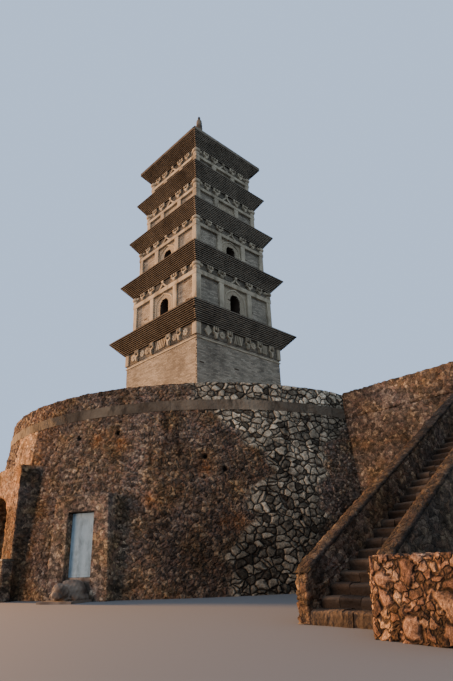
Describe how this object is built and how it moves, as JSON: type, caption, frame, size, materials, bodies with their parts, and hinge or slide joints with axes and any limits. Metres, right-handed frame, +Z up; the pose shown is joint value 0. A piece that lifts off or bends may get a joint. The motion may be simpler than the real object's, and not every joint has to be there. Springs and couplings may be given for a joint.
{
  "type": "square brick pagoda on a round rubble terrace",
  "caption": "Square brick pagoda with corbelled eaves and bracket friezes, on a round rubble masonry terrace reached by a straight stair.",
  "frame": {"origin": "on the ground, on the vertical axis of the tower", "axes": "+Z up; +X along the stair, uphill; the tower's faces look along X and Y; -Y faces the stair"},
  "size_m": [19.672, 25.072, 26.664],
  "materials": {
    "brick": "weathered fired brick, matte",
    "corbel_brick": "dark weathered fired brick, matte",
    "carved_brick": "cut and rubbed brick with lime wash, matte",
    "rubble": "rough rubble in mortar",
    "concrete": "cement render, weathered",
    "paving": "sawn paving stone, matte",
    "fill": "rammed earth and rubble",
    "tablet_stone": "honed pale limestone",
    "dark_stone": "carved dark stone, worn"
  },
  "bodies": {
    "root": {"finial": "corbel_brick", "landing_block": "rubble", "landing_parapet_east": "rubble", "landing_parapet_south": "rubble", "landing_parapet_west": "rubble", "niche_slab": "dark_stone", "niche_surround": "rubble", "niche_tablet": "tablet_stone", "recess_head": "rubble", "recess_jamb_north": "rubble", "recess_jamb_south": "rubble", "recess_low_wall": "rubble", "recess_tablet": "tablet_stone", "stair_bottom_step": "rubble", "stair_coping_outer_side": "concrete", "stair_coping_terrace_side": "concrete", "stair_flight_lower": "rubble", "stair_flight_middle": "rubble", "stair_flight_upper": "rubble", "stair_parapet_outer_side": "rubble", "stair_parapet_terrace_side": "rubble", "stair_pier": "rubble", "storey_1_bracket_band": "carved_brick", "storey_1_eave": "corbel_brick", "storey_1_string_course": "carved_brick", "storey_1_walls": "brick", "storey_2_bracket_band": "carved_brick", "storey_2_eave": "corbel_brick", "storey_2_posts_and_lintel": "carved_brick", "storey_2_walls": "brick", "storey_3_bracket_band": "carved_brick", "storey_3_eave": "corbel_brick", "storey_3_posts_and_lintel": "carved_brick", "storey_3_walls": "brick", "storey_4_bracket_band": "carved_brick", "storey_4_eave": "corbel_brick", "storey_4_posts_and_lintel": "carved_brick", "storey_4_walls": "brick", "storey_5_bracket_band": "carved_brick", "storey_5_eave": "corbel_brick", "storey_5_posts_and_lintel": "carved_brick", "storey_5_walls": "brick", "terrace_deck": "paving", "terrace_fill": "fill", "terrace_parapet_north_east": "rubble", "terrace_parapet_north_west": "rubble", "terrace_parapet_south_east": "rubble", "terrace_parapet_south_west": "rubble", "terrace_ring_beam_north_east": "concrete", "terrace_ring_beam_north_west": "concrete", "terrace_ring_beam_south_east": "concrete", "terrace_ring_beam_south_west": "concrete", "terrace_wall_north_east": "rubble", "terrace_wall_north_west": "rubble", "terrace_wall_recess": "rubble", "terrace_wall_south_east": "rubble", "terrace_wall_south_west": "rubble", "top_roof": "corbel_brick", "tortoise_base": "dark_stone"}
  },
  "joints": []
}
